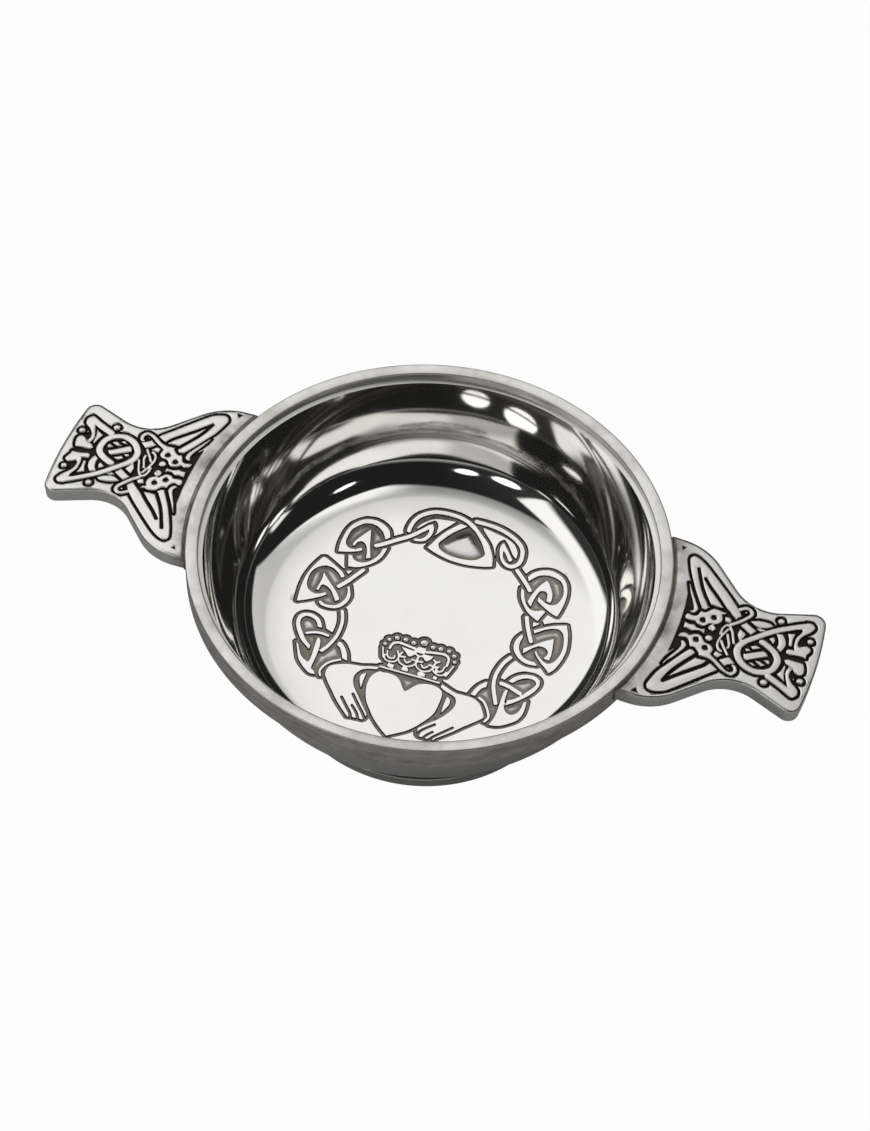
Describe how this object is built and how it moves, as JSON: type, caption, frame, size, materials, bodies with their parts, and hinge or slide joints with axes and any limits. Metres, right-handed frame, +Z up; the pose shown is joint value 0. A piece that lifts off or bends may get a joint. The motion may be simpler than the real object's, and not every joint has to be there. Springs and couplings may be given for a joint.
{
  "type": "quaich",
  "caption": "Shallow round pewter drinking bowl with flat carved side lugs to hold it by, a plain rim band, an ornamented floor and a flared foot ring.",
  "frame": {"origin": "under the middle of the foot ring, on the surface that it stands on", "axes": "+Z up along the bowl's axis, +X out through the right lug, +Y across the bowl towards the shield in the floor's ornament"},
  "size_m": [0.1672, 0.102, 0.043],
  "materials": {
    "polished_pewter": "pewter polished to a mirror, with dark patina left in the stamped lines",
    "satin_pewter": "pewter with a fine turned satin surface and brown-black patina in the carving",
    "solder": "dull tin solder, darkened in the seam"
  },
  "bodies": {
    "root": {"bowl": "polished_pewter", "rim_band": "satin_pewter", "rim_solder": "solder", "foot_ring": "satin_pewter", "foot_solder": "solder", "right_lug": "satin_pewter", "right_lug_solder": "solder", "left_lug": "satin_pewter", "left_lug_solder": "solder"}
  },
  "joints": []
}
